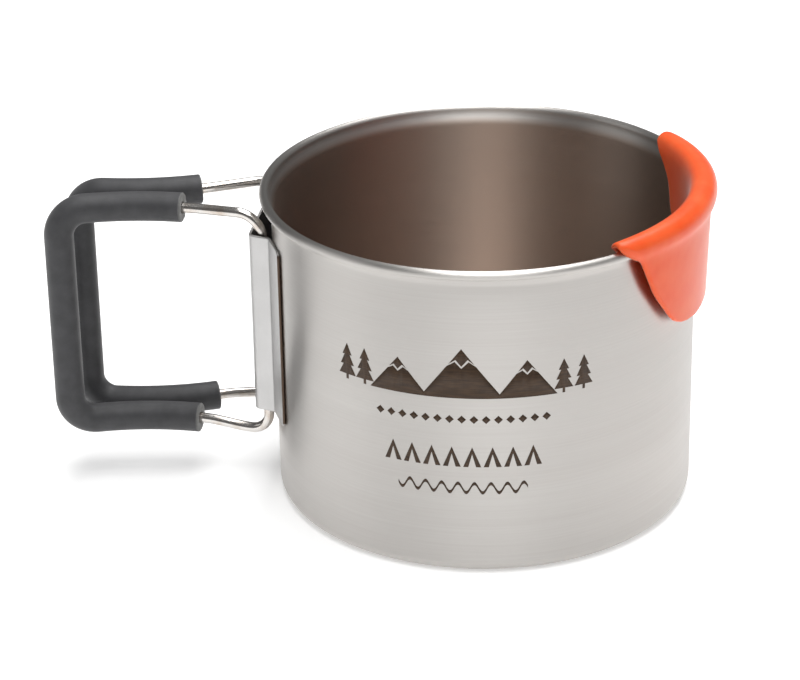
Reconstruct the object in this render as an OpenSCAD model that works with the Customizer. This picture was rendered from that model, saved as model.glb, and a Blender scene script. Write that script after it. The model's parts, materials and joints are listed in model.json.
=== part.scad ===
// Stainless steel camping cup with two fold-away wire handles and a silicone lip guard.
// Millimetres. The origin is the centre of the base on the resting plane, +Z is up,
// and the bracket that carries the handles is centred on -X.

/* [Cup] */
// Outer diameter of the cup wall
cup_d = 85; // [75:1:102]
// Height from the resting plane to the top of the rolled rim
cup_h = 65.4; // [60:0.1:80]
// Sheet thickness of the wall and the base
wall_t = 0.5; // [0.4:0.1:0.8]
// Diameter of the rolled bead along the rim
bead_d = 1.9; // [1.6:0.1:2.6]
// How far the wall flares outward just under the bead
flare = 0.6; // [0.3:0.1:0.9]
// Height over which the wall flares
flare_h = 3; // [2:0.5:4]
// Outer radius of the corner between the wall and the base
base_r = 2.6; // [1.5:0.1:4]
// Width of the ring that the cup stands on
foot_w = 3; // [2:0.5:6]
// How far the middle of the base is pressed up from the ring
base_recess = 0.8; // [0.6:0.1:2]

/* [Bracket] */
// Height of the bracket's lower end above the resting plane
bracket_z = 17.8; // [12:0.1:20]
// Length of the bracket along the cup's axis
bracket_h = 38.7; // [30:0.1:40]
// Sheet thickness of the bracket
bracket_t = 0.55; // [0.4:0.05:0.8]
// Gap between the hinge legs and the inside of the channel's outer face
crest_clear = 1.05; // [0.3:0.05:1.4]
// Gap between the hinge legs and the inside of the channel's two side walls
leg_clear = 0.5; // [0.3:0.05:0.8]
// Lean of the channel's side walls, in degrees
side_lean = 16; // [5:1:25]
// Direction in which each flat flange lies against the cup, from the bracket's middle
seat_angle = 24; // [22:0.5:27]
// Direction of each flange's free edge, from the bracket's middle
flange_angle = 26.6; // [25:0.1:30]
// Gap that is left between the flanges and the wall where they lie against it
seat_gap = 0.02; // [0.01:0.01:0.1]
// Diameter of the spot welds pressed into the flanges
weld_d = 2.2; // [1.5:0.1:3]
// Depth of the spot welds
weld_depth = 0.12; // [0.05:0.01:0.2]

/* [Handles] */
// Diameter of the handle wire
wire_d = 2.1; // [1.8:0.1:2.6]
// Half of the distance between the two hinge legs
leg_spread = 9.7; // [8:0.1:11]
// Gap between the cup wall's outer face and a hinge leg, measured radially
leg_gap = 0.87; // [0.6:0.01:1.2]
// Length of an arm in plan, from its hinge leg to the middle of the grip
arm_len = 42; // [38:0.5:44]
// Length of the straight start of an arm
arm_straight = 12.6; // [8:0.1:16]
// Plan radius of the rest of the arm, which follows the cup when the handle is folded
arm_r = 53; // [50:1:60]
// Height of the upper arm above the bracket's upper end
arm_up = 3.9; // [3.6:0.1:4.5]
// Depth of the lower arm below the bracket's lower end
arm_down = 4.5; // [4.2:0.1:6]
// How far the lower arm drops from the sleeve's end to its hinge leg
arm_toe = 0.9; // [0:0.1:1.2]
// Centreline radius of the bend between a hinge leg and its upper arm
leg_bend_top = 5.2; // [3:0.1:5.5]
// Centreline radius of the bend between a hinge leg and its lower arm
leg_bend_low = 3.8; // [3:0.1:4]
// Centreline radius of the bends between the arms and the grip
grip_bend = 5.5; // [4.5:0.1:7]
// Outer diameter of the rubber sleeve on the grip
sleeve_d = 6; // [5:0.1:6.2]
// Clearance between the sleeve's bore and the wire, on the radius
sleeve_fit = 0.06; // [0.05:0.01:0.12]
// Distance in plan from the hinge leg to the sleeve's end on the upper arm
sleeve_top = 16.6; // [14:0.1:24]
// Distance in plan from the hinge leg to the sleeve's end on the lower arm
sleeve_bottom = 15; // [14:0.1:24]
// Swing of the handle on the -Y side, in from straight out toward the middle, in degrees
rest_a = 7.4; // [0:0.1:10]
// Swing of the handle on the +Y side, in from straight out toward the middle, in degrees
rest_b = 26.9; // [20:0.1:28]

/* [Lip guard] */
// Direction of the guard's middle round the rim, from +X toward +Y
guard_at = -5; // [-20:1:10]
// Half of the angle that the guard's lip covers
guard_half = 43; // [38:1:50]
// Diameter of the thick drinking lip at the middle of the guard
lip_d = 5.8; // [5.4:0.1:6.6]
// Diameter of the lip at the guard's two ends
lip_end_d = 4; // [3.6:0.1:4.6]
// How far the lip stands out past the bead at the middle of the guard
lip_out = 1.9; // [1.6:0.1:3]
// How far the lip stands out past the bead at the guard's two ends
lip_end_out = 0.9; // [0.8:0.1:1.5]
// Height of the lip's centreline above the middle of the bead
lip_rise = 0.75; // [0.2:0.05:1]
// Gap all round the bead inside the guard
guard_clear = 0.3; // [0.2:0.05:0.4]
// Thickness of the inner leg that goes down inside the cup
guard_leg_t = 0.9; // [0.7:0.1:1.4]
// Depth of the inner leg below the rim
guard_leg_h = 15; // [8:0.1:18]
// Half of the angle that the inner leg covers at its lower end
guard_leg_half = 32.5; // [26:0.5:34]
// Gap between the skirt's tip and the cup wall
skirt_gap = 1.3; // [1:0.1:1.8]
// Thickness of the outer skirt
skirt_t = 1.1; // [0.9:0.1:1.4]
// How far the skirt leans in toward the wall from the lip to its tip
skirt_lean = 0.6; // [0.4:0.1:1]
// Depth of the skirt's tip below the rim
skirt_h = 22; // [18:0.1:26]
// Half of the skirt's width where it leaves the lip
skirt_top_w = 27.5; // [24:0.1:29]
// Half of the skirt's width at its tip
skirt_tip_w = 17.5; // [12:0.1:20]

/* [Hidden] */
$fn = 96;
eps = 0.01;

// Cup
cup_r = cup_d / 2;
bead_r = bead_d / 2;
bead_z = cup_h - bead_r;
// The bead's inner side lies just outside the flared wall's inner face
bead_cr = cup_r + flare - wall_t / 2 + bead_r;
flare_z = bead_z - flare_h;
foot_out = cup_r - base_r;
foot_in = foot_out - foot_w;

// Bracket and hinge legs, with n measured outward from the cup's axis
leg_r = cup_r + leg_gap + wire_d / 2;
leg_n = sqrt(leg_r * leg_r - leg_spread * leg_spread);
bracket_top = bracket_z + bracket_h;
crest_in = leg_n + wire_d / 2 + crest_clear;
side_in = cos(90 - side_lean) * leg_n + sin(90 - side_lean) * leg_spread + wire_d / 2 + leg_clear;
seat_r = cup_r + seat_gap;
weld_rows = [0.07, 0.51, 0.95];

// Handles
arm_top_z = bracket_top + arm_up;
arm_low_z = bracket_z - arm_down;
toe_z = arm_low_z - arm_toe;
// The wire runs straight this far past each end of the sleeve
sleeve_lead = 1;
bend_steps = 6;
arm_steps = 8;
wire_sides = 12;
sleeve_sides = 16;

// Lip guard
leg_out_r = cup_r - wall_t - guard_clear;
leg_in_r = leg_out_r - guard_leg_t;
skirt_in_r = cup_r + skirt_gap;
skirt_out_r = skirt_in_r + skirt_t;
crease_r = skirt_out_r + skirt_lean;
bead_out_r = bead_cr + bead_r;
slot_r = bead_out_r + guard_clear;
slot_top = cup_h + guard_clear;
slot_low = bead_z - bead_r - guard_clear;
slot_mid = (slot_r + leg_out_r) / 2;
slot_half = (slot_r - leg_out_r) / 2;
lip_z = bead_z + lip_rise;
lip_roll_end = 150;
leg_low_z = cup_h - guard_leg_h;
// The inner leg runs out level with the bead's lower side, and its sides curve in steeply
leg_curve = 0.35;
lip_steps = 9;
guard_steps = 30;
skirt_low_z = cup_h - skirt_h;
skirt_edge_r = 2.5 * skirt_tip_w;
skirt_side_z = skirt_low_z + skirt_tip_w * skirt_tip_w / (2 * skirt_edge_r);
// The skirt ends this far below the bead's lower side, where it runs out at the guard's ends
skirt_end_z = slot_low - 0.2;

// The wall, from the base corner up to the bead, as a half section
module cup_section() {
    translate([cup_r - wall_t, base_r]) square([wall_t, flare_z - base_r]);
    polygon([[cup_r - wall_t, flare_z], [cup_r, flare_z],
             [cup_r + flare, bead_z], [cup_r + flare - wall_t, bead_z]]);
    translate([bead_cr, bead_z]) circle(bead_r);
    intersection() {
        translate([foot_out, base_r]) difference() {
            circle(base_r);
            circle(base_r - wall_t);
        }
        translate([foot_out, 0]) square(base_r);
    }
    base_section();
}

// The ring that the cup stands on and the pressed-up middle of the base
module base_section() {
    translate([foot_in, 0]) square([foot_w + eps, wall_t]);
    polygon([[foot_in + eps, 0], [foot_in + eps, wall_t],
             [foot_in - base_recess, base_recess + wall_t], [foot_in - base_recess, base_recess]]);
    translate([0, base_recess]) square([foot_in - base_recess + eps, wall_t]);
}

module cup_body() {
    color([0.80, 0.79, 0.77]) rotate_extrude($fn = 180) cup_section();
}

// Where two straight lines meet in plan, each given by its normal's direction and its distance
function meet(dir_1, far_1, dir_2, far_2) =
    [far_1 * sin(dir_2) - far_2 * sin(dir_1), far_2 * cos(dir_1) - far_1 * cos(dir_2)]
    / sin(dir_2 - dir_1);

// One side of the bracket's sheet in plan, from the flange's free edge to the crest's corner:
// out is 0 for the inner face and the sheet's thickness for the outer face
function half_plan(out) =
    let (flange_far = seat_r + out, side_far = side_in + out, crest_far = crest_in + out,
         edge_r = flange_far / cos(flange_angle - seat_angle))
    [[edge_r * cos(flange_angle), edge_r * sin(flange_angle)],
     meet(seat_angle, flange_far, 90 - side_lean, side_far),
     meet(90 - side_lean, side_far, 0, crest_far)];

// The same points on the bracket's other side, in reverse order
function mirrored(list) = [for (p = reversed(list)) [p[0], -p[1]]];

// Plan of the bracket, drawn outward along +X: a channel with a flat flange on each side
module bracket_plan() {
    outer = half_plan(bracket_t);
    inner = half_plan(0);
    polygon(concat(outer, mirrored(outer), reversed(concat(inner, mirrored(inner)))));
}

module handle_bracket() {
    color([0.74, 0.73, 0.71]) rotate([0, 0, 180]) difference() {
        translate([0, 0, bracket_z]) linear_extrude(bracket_h) bracket_plan();
        for (side = [-1, 1], row = weld_rows)
            rotate([0, 0, side * seat_angle])
                translate([seat_r + bracket_t - weld_depth, 0, bracket_z + row * bracket_h])
                    rotate([0, 90, 0]) cylinder(d = weld_d, h = 2, $fn = 32);
    }
}

// A closed mesh from a list of closed rings; the last ring joins the first again if loop is
// true, and otherwise each end is capped by joining one half of its ring to the other half
module ring_mesh(rings, loop) {
    count = len(rings);
    sides = len(rings[0]);
    last = loop ? count - 1 : count - 2;
    end = (count - 1) * sides;
    quads = [for (i = [0 : last], k = [0 : sides - 1])
        [i * sides + k, ((i + 1) % count) * sides + k,
         ((i + 1) % count) * sides + (k + 1) % sides, i * sides + (k + 1) % sides]];
    caps = loop ? [] : [for (k = [0 : sides / 2 - 2]) each
        [[k, k + 1, sides - 2 - k, sides - 1 - k],
         [end + k, end + sides - 1 - k, end + sides - 2 - k, end + k + 1]]];
    polyhedron([for (ring = rings) each ring], concat(quads, caps), convexity = 6);
}

// How far an arm has turned in plan at distance u from its hinge leg
function arm_turn(u) = max(0, u - arm_straight) / arm_r * 180 / PI;

// Where the arm lies in plan at distance u: straight out along +X, then curving toward -Y
function arm_plan(u) =
    [min(u, arm_straight) + arm_r * sin(arm_turn(u)), -arm_r * (1 - cos(arm_turn(u)))];

// A round ring of radius r about the wire at a station [u, z, slope]
function wire_ring(s, r, sides) =
    let (turn = arm_turn(s[0]), at = arm_plan(s[0]), out = [cos(turn), -sin(turn), 0],
         side = [sin(turn), cos(turn), 0], along = cos(s[2]) * out + [0, 0, sin(s[2])],
         up = cross(along, side))
    [for (k = [0 : sides - 1]) let (a = 360 * k / sides)
        [at[0], at[1], s[1]] + r * (cos(a) * side + sin(a) * up)];

// Stations round a quarter bend of centreline radius r about [u, z], from angle a0, clockwise
function bend_stations(u, z, r, a0) =
    [for (i = [0 : bend_steps]) let (a = a0 - 90 * i / bend_steps)
        [u + r * cos(a), z + r * sin(a), a - 90]];

// Distances along an arm from one end to the other, with both ends
function arm_points(from, to) =
    [for (i = [0 : arm_steps]) from + (to - from) * i / arm_steps];

// Stations along the grip end of a handle, from the upper arm to the lower arm
grip_stations = concat(
    bend_stations(arm_len - grip_bend, arm_top_z - grip_bend, grip_bend, 90),
    bend_stations(arm_len - grip_bend, arm_low_z + grip_bend, grip_bend, 0));

// Stations from one point on an arm to the start of the grip end, without that start
function arm_stations(from, z, slope) =
    [for (u = arm_points(from, arm_len - grip_bend)) if (u < arm_len - grip_bend - eps) [u, z, slope]];

function reversed(list) = [for (i = [len(list) - 1 : -1 : 0]) list[i]];

// The closed loop of wire, with its hinge leg on the Z axis and its arms along +X
module wire_loop() {
    leg = concat(bend_stations(leg_bend_low, toe_z + leg_bend_low, leg_bend_low, 270),
                 bend_stations(leg_bend_top, arm_top_z - leg_bend_top, leg_bend_top, 180));
    stations = concat(leg, [[min(arm_straight, sleeve_top - sleeve_lead), arm_top_z, 0]],
                      arm_stations(sleeve_top, arm_top_z, 0), grip_stations,
                      reversed(arm_stations(sleeve_bottom, arm_low_z, 180)),
                      [[sleeve_bottom - sleeve_lead, arm_low_z, 180]]);
    ring_mesh([for (s = stations) wire_ring(s, wire_d / 2, wire_sides)], true);
}

// The sleeve is one skin that runs out along its outside and back through its bore
module sleeve_tube() {
    stations = concat(arm_stations(sleeve_top, arm_top_z, 0), grip_stations,
                      reversed(arm_stations(sleeve_bottom, arm_low_z, 180)));
    ring_mesh(concat([for (s = stations) wire_ring(s, sleeve_d / 2, sleeve_sides)],
                     [for (s = reversed(stations)) wire_ring(s, wire_d / 2 + sleeve_fit, sleeve_sides)]),
              true);
}

// Puts a handle on its hinge leg, on the -Y side at swing angle rest
module at_hinge(rest) {
    translate([-leg_n, -leg_spread, 0]) rotate([0, 0, -rest]) mirror([1, 0, 0]) children();
}

module handle_wire_a() {
    color([0.72, 0.70, 0.68]) at_hinge(rest_a) wire_loop();
}

module handle_wire_b() {
    color([0.72, 0.70, 0.68]) mirror([0, 1, 0]) at_hinge(rest_b) wire_loop();
}

module grip_sleeve_a() {
    color([0.31, 0.31, 0.32]) at_hinge(rest_a) sleeve_tube();
}

module grip_sleeve_b() {
    color([0.31, 0.31, 0.32]) mirror([0, 1, 0]) at_hinge(rest_b) sleeve_tube();
}

// How much of the middle's fullness the guard has at angle a from its middle
function fullness(a) = sqrt(max(0, cos(90 * a / guard_half)));

// Height of the skirt's lower edge at angle a from the guard's middle
function skirt_edge(a) =
    let (y = abs(skirt_out_r * sin(a)))
    y < skirt_tip_w ? skirt_low_z + y * y / (2 * skirt_edge_r)
        : min(skirt_end_z, skirt_side_z
              + (skirt_end_z - skirt_side_z) * (y - skirt_tip_w) / (skirt_top_w - skirt_tip_w));

// Height of the inner leg's lower edge at angle a from the guard's middle
function leg_edge(a) =
    leg_low_z + (bead_z - bead_r - leg_low_z)
        * pow(max(0, abs(a) - guard_leg_half) / (guard_half - guard_leg_half), leg_curve);

// Half section of the guard at angle a from its middle, as [radius, height] points: up the
// skirt's outside, over the lip and down the inner leg, then back inside as a second half with
// as many points, which clears the wall and the bead
function guard_section(a) =
    let (r = (lip_end_d + (lip_d - lip_end_d) * fullness(a)) / 2,
         out_r = bead_out_r + lip_end_out + (lip_out - lip_end_out) * fullness(a),
         mid = out_r - r,
         crease = -acos((crease_r - mid) / r),
         edge = skirt_edge(a),
         drop = (skirt_end_z - edge) / (skirt_end_z - skirt_low_z),
         inner_r = slot_r + (skirt_in_r - slot_r) * drop,
         roll_steps = lip_steps + 1)
    concat([[crease_r - skirt_lean * drop, edge]],
           [for (i = [0 : roll_steps]) let (t = crease + (lip_roll_end - crease) * i / roll_steps)
               [mid + r * cos(t), lip_z + r * sin(t)]],
           [[leg_in_r, lip_z], [leg_in_r, leg_edge(a)], [leg_out_r, leg_edge(a)]],
           [for (i = [0 : lip_steps]) let (t = 180 * (1 - i / lip_steps))
               [slot_mid + slot_half * cos(t), bead_z + (slot_top - bead_z) * sin(t)]],
           [[slot_r, slot_low], [inner_r + skirt_lean * drop, (slot_low + max(edge, slot_low - skirt_gap)) / 2],
            [inner_r, edge]]);

module lip_guard() {
    color([0.92, 0.38, 0.20]) rotate([0, 0, guard_at])
        ring_mesh([for (i = [0 : guard_steps])
            let (a = guard_half * (1 - 2 * i / guard_steps))
            [for (p = guard_section(a)) [p[0] * cos(a), p[0] * sin(a), p[1]]]], false);
}

cup_body();
handle_bracket();
handle_wire_a();
handle_wire_b();
grip_sleeve_a();
grip_sleeve_b();
lip_guard();
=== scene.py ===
"""Looks of a stainless camping cup with two folding wire handles and a silicone lip guard."""

import json
import math

import bmesh
import bpy
import numpy as np
from mathutils import Matrix, Quaternion, Vector


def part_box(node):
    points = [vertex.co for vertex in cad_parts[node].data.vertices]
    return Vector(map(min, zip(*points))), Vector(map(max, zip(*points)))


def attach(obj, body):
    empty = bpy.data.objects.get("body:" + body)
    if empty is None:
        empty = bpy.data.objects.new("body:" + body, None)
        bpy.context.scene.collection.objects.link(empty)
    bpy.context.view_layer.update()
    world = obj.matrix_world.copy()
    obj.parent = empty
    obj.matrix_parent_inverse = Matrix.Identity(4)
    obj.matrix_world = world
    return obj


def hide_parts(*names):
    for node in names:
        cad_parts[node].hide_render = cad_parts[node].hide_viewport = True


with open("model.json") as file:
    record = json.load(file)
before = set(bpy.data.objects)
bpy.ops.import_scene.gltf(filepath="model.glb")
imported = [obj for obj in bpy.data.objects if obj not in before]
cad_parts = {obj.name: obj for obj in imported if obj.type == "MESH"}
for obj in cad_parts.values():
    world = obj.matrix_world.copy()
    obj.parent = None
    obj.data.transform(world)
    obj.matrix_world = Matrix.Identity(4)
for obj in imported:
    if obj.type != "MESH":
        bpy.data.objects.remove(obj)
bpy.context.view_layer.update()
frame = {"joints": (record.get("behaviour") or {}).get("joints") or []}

# Lengths below are millimetres unless a name says otherwise; meshes are scaled to metres by MM.
MM = 0.001

# ---------------------------------------------------------------- sizes read from the frame
cup_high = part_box("cup_body")[1]
bracket_low, bracket_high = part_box("handle_bracket")
wire_low, wire_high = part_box("handle_wire_a")
sleeve_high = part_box("grip_sleeve_a")[1]
guard_low, guard_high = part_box("lip_guard")
hinges = {joint["child"]: joint["pos_m"] for joint in frame["joints"]}

# ---------------------------------------------------------------- cup sizes
CUP_H = cup_high.z / MM
WALL_T = 0.5
BEAD_R = 0.95
BEAD_CENTRE_R = cup_high.x / MM - BEAD_R
BEAD_Z = CUP_H - BEAD_R
FLARE = 0.6
FLARE_H = 3
CUP_R = BEAD_CENTRE_R - BEAD_R - FLARE + WALL_T / 2
BASE_R = 2.6
FOOT_W = 3
BASE_RECESS = 0.8
FOOT_OUT = CUP_R - BASE_R
FOOT_IN = FOOT_OUT - FOOT_W
CUP_SEGMENTS = 288

# ---------------------------------------------------------------- bracket sizes
BRACKET_Z = bracket_low.z / MM
BRACKET_TOP = bracket_high.z / MM
BRACKET_T = 0.55
CREST_OUT = -bracket_low.x / MM
SEAT_ANGLE = math.radians(24)
FLANGE_ANGLE = math.radians(26.6)
SIDE_LEAN = math.radians(16)
SEAT_GAP = 0.02
LEG_CLEAR = 0.5
WELD_ROWS = (0.07, 0.51, 0.95)

# ---------------------------------------------------------------- handle sizes
WIRE_R = 1.05
LEG_N = -hinges["handle_a"][0] / MM
LEG_SPREAD = abs(hinges["handle_a"][1]) / MM
ARM_LEN = 42
ARM_STRAIGHT = 12.6
ARM_R = 53
ARM_TOP_Z = wire_high.z / MM - WIRE_R
TOE_Z = wire_low.z / MM + WIRE_R
ARM_TOE = 0.9
ARM_LOW_Z = TOE_Z + ARM_TOE
LEG_BEND_TOP = 5.2
LEG_BEND_LOW = 3.8
GRIP_BEND = 5.5
SLEEVE_R = sleeve_high.z / MM - ARM_TOP_Z
SLEEVE_BORE_R = WIRE_R + 0.06
SLEEVE_TOP = 16.6
SLEEVE_BOTTOM = 15
SLEEVE_LEAD = 1
REST_A = math.radians(7.4)
REST_B = math.radians(26.9)

# ---------------------------------------------------------------- lip guard sizes
GUARD_AT = math.radians(-5)
GUARD_HALF = 43
LIP_TOP = guard_high.z / MM
GUARD_CLEAR = 0.3
LEG_OUT_R = CUP_R - WALL_T - GUARD_CLEAR
LEG_IN_R = LEG_OUT_R - 0.9
SLOT_R = BEAD_CENTRE_R + BEAD_R + GUARD_CLEAR
SLOT_TOP = CUP_H + GUARD_CLEAR
SLOT_LOW = BEAD_Z - BEAD_R - GUARD_CLEAR
SKIRT_LOW = guard_low.z / MM


# ================================================================ outlines and meshes
def arc(centre, radius, start, end, steps):
    """Points on an arc from one angle to another, in degrees, with both ends."""
    angles = np.radians(np.linspace(start, end, steps + 1))
    return [(centre[0] + radius * math.cos(a), centre[1] + radius * math.sin(a)) for a in angles]


def rounded(corners, steps=8):
    """An open outline through corners given as (x, y, radius), with each inner corner rounded."""
    points = [tuple(corners[0][:2])]
    for before, corner, after in zip(corners, corners[1:], corners[2:]):
        here = Vector(corner[:2])
        back = (Vector(before[:2]) - here).normalized()
        on = (Vector(after[:2]) - here).normalized()
        half = back.angle(on) / 2
        if corner[2] <= 0 or half > math.radians(89.9):
            points.append(tuple(here))
            continue
        reach = corner[2] / math.tan(half)
        start = here + back * reach
        end = here + on * reach
        centre = here + (back + on).normalized() * (corner[2] / math.sin(half))
        first = start - centre
        turn = first.angle_signed(end - centre)
        for step in range(steps + 1):
            angle = -turn * step / steps
            spoke = Vector((first.x * math.cos(angle) - first.y * math.sin(angle),
                            first.x * math.sin(angle) + first.y * math.cos(angle)))
            points.append(tuple(centre + spoke))
    points.append(tuple(corners[-1][:2]))
    return points


def smooth_step(t):
    t = min(1.0, max(0.0, t))
    return t * t * (3 - 2 * t)


def two_skins(rows, columns):
    """Quads over two grids of points, stored one after the other and each row after row."""
    front = [(i * columns + k, i * columns + k + 1, (i + 1) * columns + k + 1, (i + 1) * columns + k)
             for i in range(rows - 1) for k in range(columns - 1)]
    count = rows * columns
    return front + [tuple(count + v for v in reversed(face)) for face in front]


def add_piece(name, points, faces, material, body, node=None, sharp=None):
    """A mesh from points in millimetres: doubles merged, faces turned outward, smooth-shaded."""
    mesh = bpy.data.meshes.new(name)
    mesh.from_pydata([tuple(c * MM for c in p) for p in points], [], faces)
    work = bmesh.new()
    work.from_mesh(mesh)
    bmesh.ops.remove_doubles(work, verts=work.verts, dist=0.002 * MM)
    bmesh.ops.dissolve_degenerate(work, edges=work.edges, dist=0.001 * MM)
    bmesh.ops.recalc_face_normals(work, faces=work.faces)
    work.to_mesh(mesh)
    work.free()
    mesh.shade_smooth()
    if sharp:
        mesh.set_sharp_from_angle(angle=math.radians(sharp))
    mesh.materials.append(material)
    piece = bpy.data.objects.new(name, mesh)
    bpy.context.scene.collection.objects.link(piece)
    return finish_piece(piece, body, node)


def finish_piece(piece, body, node):
    """Hangs a piece on its body, and hides the CAD node it stands for."""
    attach(piece, body)
    if node:
        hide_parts(node)
    return piece


# ================================================================ node trees
def add(tree, kind, settings=None, inputs=None):
    """Adds a node with its settings; an input that is a socket is linked, any other is set."""
    node = tree.nodes.new(kind)
    for name, value in (settings or {}).items():
        setattr(node, name, value)
    for key, value in (inputs or {}).items():
        if isinstance(value, bpy.types.NodeSocket):
            tree.links.new(value, node.inputs[key])
        else:
            node.inputs[key].default_value = value
    return node


def new_tree(name, sizes):
    """An empty geometry tree with named inputs; returns the tree and its group input's outputs."""
    tree = bpy.data.node_groups.new(name, "GeometryNodeTree")
    tree.interface.new_socket("Shape", in_out="INPUT", socket_type="NodeSocketGeometry")
    for label, kind in sizes:
        tree.interface.new_socket(label, in_out="INPUT", socket_type=kind)
    tree.interface.new_socket("Result", in_out="OUTPUT", socket_type="NodeSocketGeometry")
    return tree, tree.nodes.new("NodeGroupInput").outputs


def close_tree(tree, geometry, finish):
    """Ends a geometry tree in real, smooth geometry with its material."""
    real = add(tree, "GeometryNodeRealizeInstances", inputs={"Geometry": geometry})
    smooth = add(tree, "GeometryNodeSetShadeSmooth", inputs={"Geometry": real.outputs[0]})
    painted = add(tree, "GeometryNodeSetMaterial",
                  inputs={"Geometry": smooth.outputs[0], "Material": finish})
    add(tree, "NodeGroupOutput", inputs={0: painted.outputs[0]})


def grown(name, points, edges, faces, tree, values):
    """Runs a geometry tree on a small mesh and returns the result as a plain mesh object."""
    seed_mesh = bpy.data.meshes.new(name + "_seed")
    seed_mesh.from_pydata([tuple(c * MM for c in p) for p in points], edges, faces)
    source = bpy.data.objects.new(name + "_seed", seed_mesh)
    modifier = source.modifiers.new("grow", "NODES")
    modifier.node_group = tree
    for item in tree.interface.items_tree:
        if item.in_out == "INPUT" and item.name in values:
            modifier[item.identifier] = values[item.name]
    bpy.context.scene.collection.objects.link(source)
    depsgraph = bpy.context.evaluated_depsgraph_get()
    result = bpy.data.meshes.new_from_object(source.evaluated_get(depsgraph),
                                             preserve_all_data_layers=True, depsgraph=depsgraph)
    bpy.data.objects.remove(source)
    piece = bpy.data.objects.new(name, result)
    bpy.context.scene.collection.objects.link(piece)
    return piece


def maths(tree, operation, *values):
    """The result of one maths node on sockets or numbers."""
    return add(tree, "ShaderNodeMath", {"operation": operation}, dict(enumerate(values))).outputs[0]


def ranged(tree, value, start, end, low=0.0, high=1.0):
    """A value moved from one range to another and held inside it."""
    return add(tree, "ShaderNodeMapRange",
               inputs={"Value": value, "From Min": start, "From Max": end,
                       "To Min": low, "To Max": high}).outputs[0]


def stored(tree, geometry, name, value, kind="FLOAT"):
    """The geometry with a value kept on each of its points under a name."""
    return add(tree, "GeometryNodeStoreNamedAttribute", {"data_type": kind, "domain": "POINT"},
               {"Geometry": geometry, "Name": name, "Value": value}).outputs[0]


def recalled(tree, name, kind):
    return add(tree, "GeometryNodeInputNamedAttribute", {"data_type": kind},
               {"Name": name}).outputs[0]


def joined(tree, first, second, distance):
    """Two meshes as one, with the points that meet merged."""
    both = add(tree, "GeometryNodeJoinGeometry", inputs={0: first})
    tree.links.new(second, both.inputs[0])
    return add(tree, "GeometryNodeMergeByDistance",
               inputs={"Geometry": both.outputs[0], "Distance": distance}).outputs[0]


def ring_profile(tree, sides, radius):
    """A circle that stores its own shape as "round", so a pattern can run along the sweep."""
    ring = add(tree, "GeometryNodeCurvePrimitiveCircle",
               inputs={"Resolution": sides, "Radius": radius})
    place = add(tree, "GeometryNodeInputPosition").outputs[0]
    return stored(tree, ring.outputs["Curve"], "round", place, "FLOAT_VECTOR")


def swept_wire_tree():
    """A round wire along a path; it stores where each point lies along and round the wire."""
    tree, given = new_tree("swept_wire", [("Radius", "NodeSocketFloat"), ("Sides", "NodeSocketInt"),
                                          ("Finish", "NodeSocketMaterial")])
    path = add(tree, "GeometryNodeMeshToCurve", inputs={"Mesh": given["Shape"]})
    along = add(tree, "GeometryNodeSplineParameter")
    marked = stored(tree, path.outputs[0], "along", along.outputs["Length"])
    profile = ring_profile(tree, given["Sides"], given["Radius"])
    swept = add(tree, "GeometryNodeCurveToMesh", inputs={"Curve": marked, "Profile Curve": profile})
    close_tree(tree, swept.outputs[0], given["Finish"])
    return tree


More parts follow.
